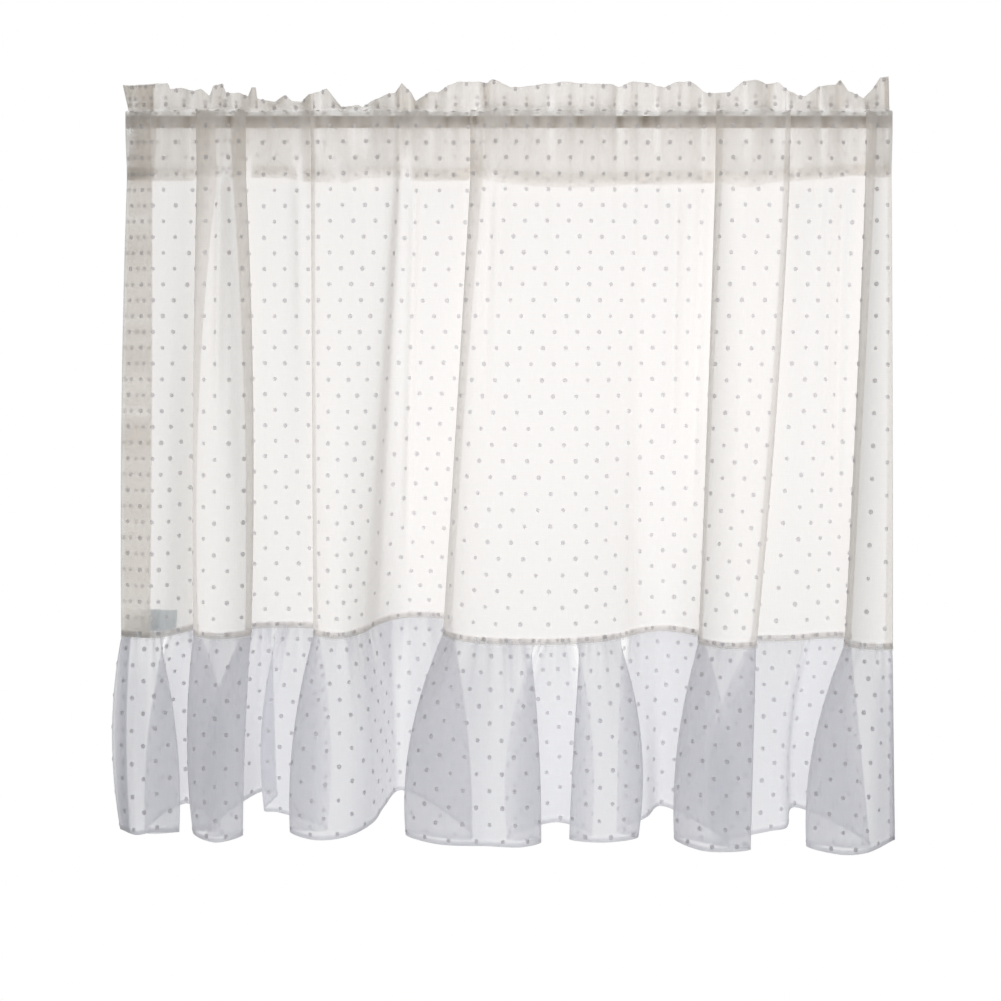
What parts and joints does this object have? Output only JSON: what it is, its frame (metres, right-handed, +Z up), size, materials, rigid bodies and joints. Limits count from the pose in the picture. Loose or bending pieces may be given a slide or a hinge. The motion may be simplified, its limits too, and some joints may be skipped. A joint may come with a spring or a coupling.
{
  "type": "ruffled cafe curtain on a plain rod",
  "caption": "White dotted voile cafe curtain gathered on a thin plain rod, with a frilled header, a side hem and a gathered flounce along its foot.",
  "frame": {"origin": "centre of the flat left end face of the rod", "axes": "+X runs along the rod from its left end to its right end, +Z is up, the front of the curtain faces -Y"},
  "size_m": [0.771, 0.1364, 0.7519],
  "materials": {
    "voile": "sheer white voile with small clipped dots",
    "flounce_voile": "the same voile, gathered",
    "label_tape": "blank satin tape",
    "rod_paint": "satin"
  },
  "bodies": {
    "root": {"panel": "voile", "flounce": "flounce_voile", "label": "label_tape", "rod": "rod_paint"}
  },
  "joints": []
}
